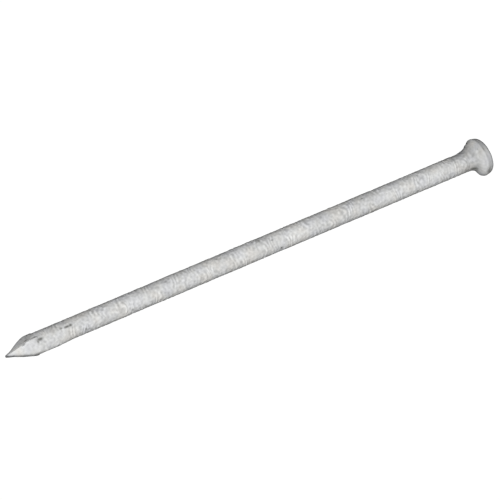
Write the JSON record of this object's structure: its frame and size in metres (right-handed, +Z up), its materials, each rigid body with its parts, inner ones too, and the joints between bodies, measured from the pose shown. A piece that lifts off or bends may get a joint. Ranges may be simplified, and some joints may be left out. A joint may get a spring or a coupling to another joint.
{
  "type": "spike nail",
  "caption": "Long round spike with a flat round head, filleted neck and four-sided diamond point, forged in steel and hot-dip galvanised.",
  "frame": {"origin": "on the spike's axis, in the plane where the head is widest, which the nominal length is measured to", "axes": "+X along the axis from the point towards the head; +Z up as the spike lies, with the ridges of the point turned 17 degrees about X from the Y and Z directions"},
  "size_m": [0.2576, 0.0186, 0.0186],
  "materials": {
    "steel": "satin",
    "zinc": "matte"
  },
  "bodies": {
    "root": {"steel_spike": "steel", "zinc_coating": "zinc"}
  },
  "joints": []
}
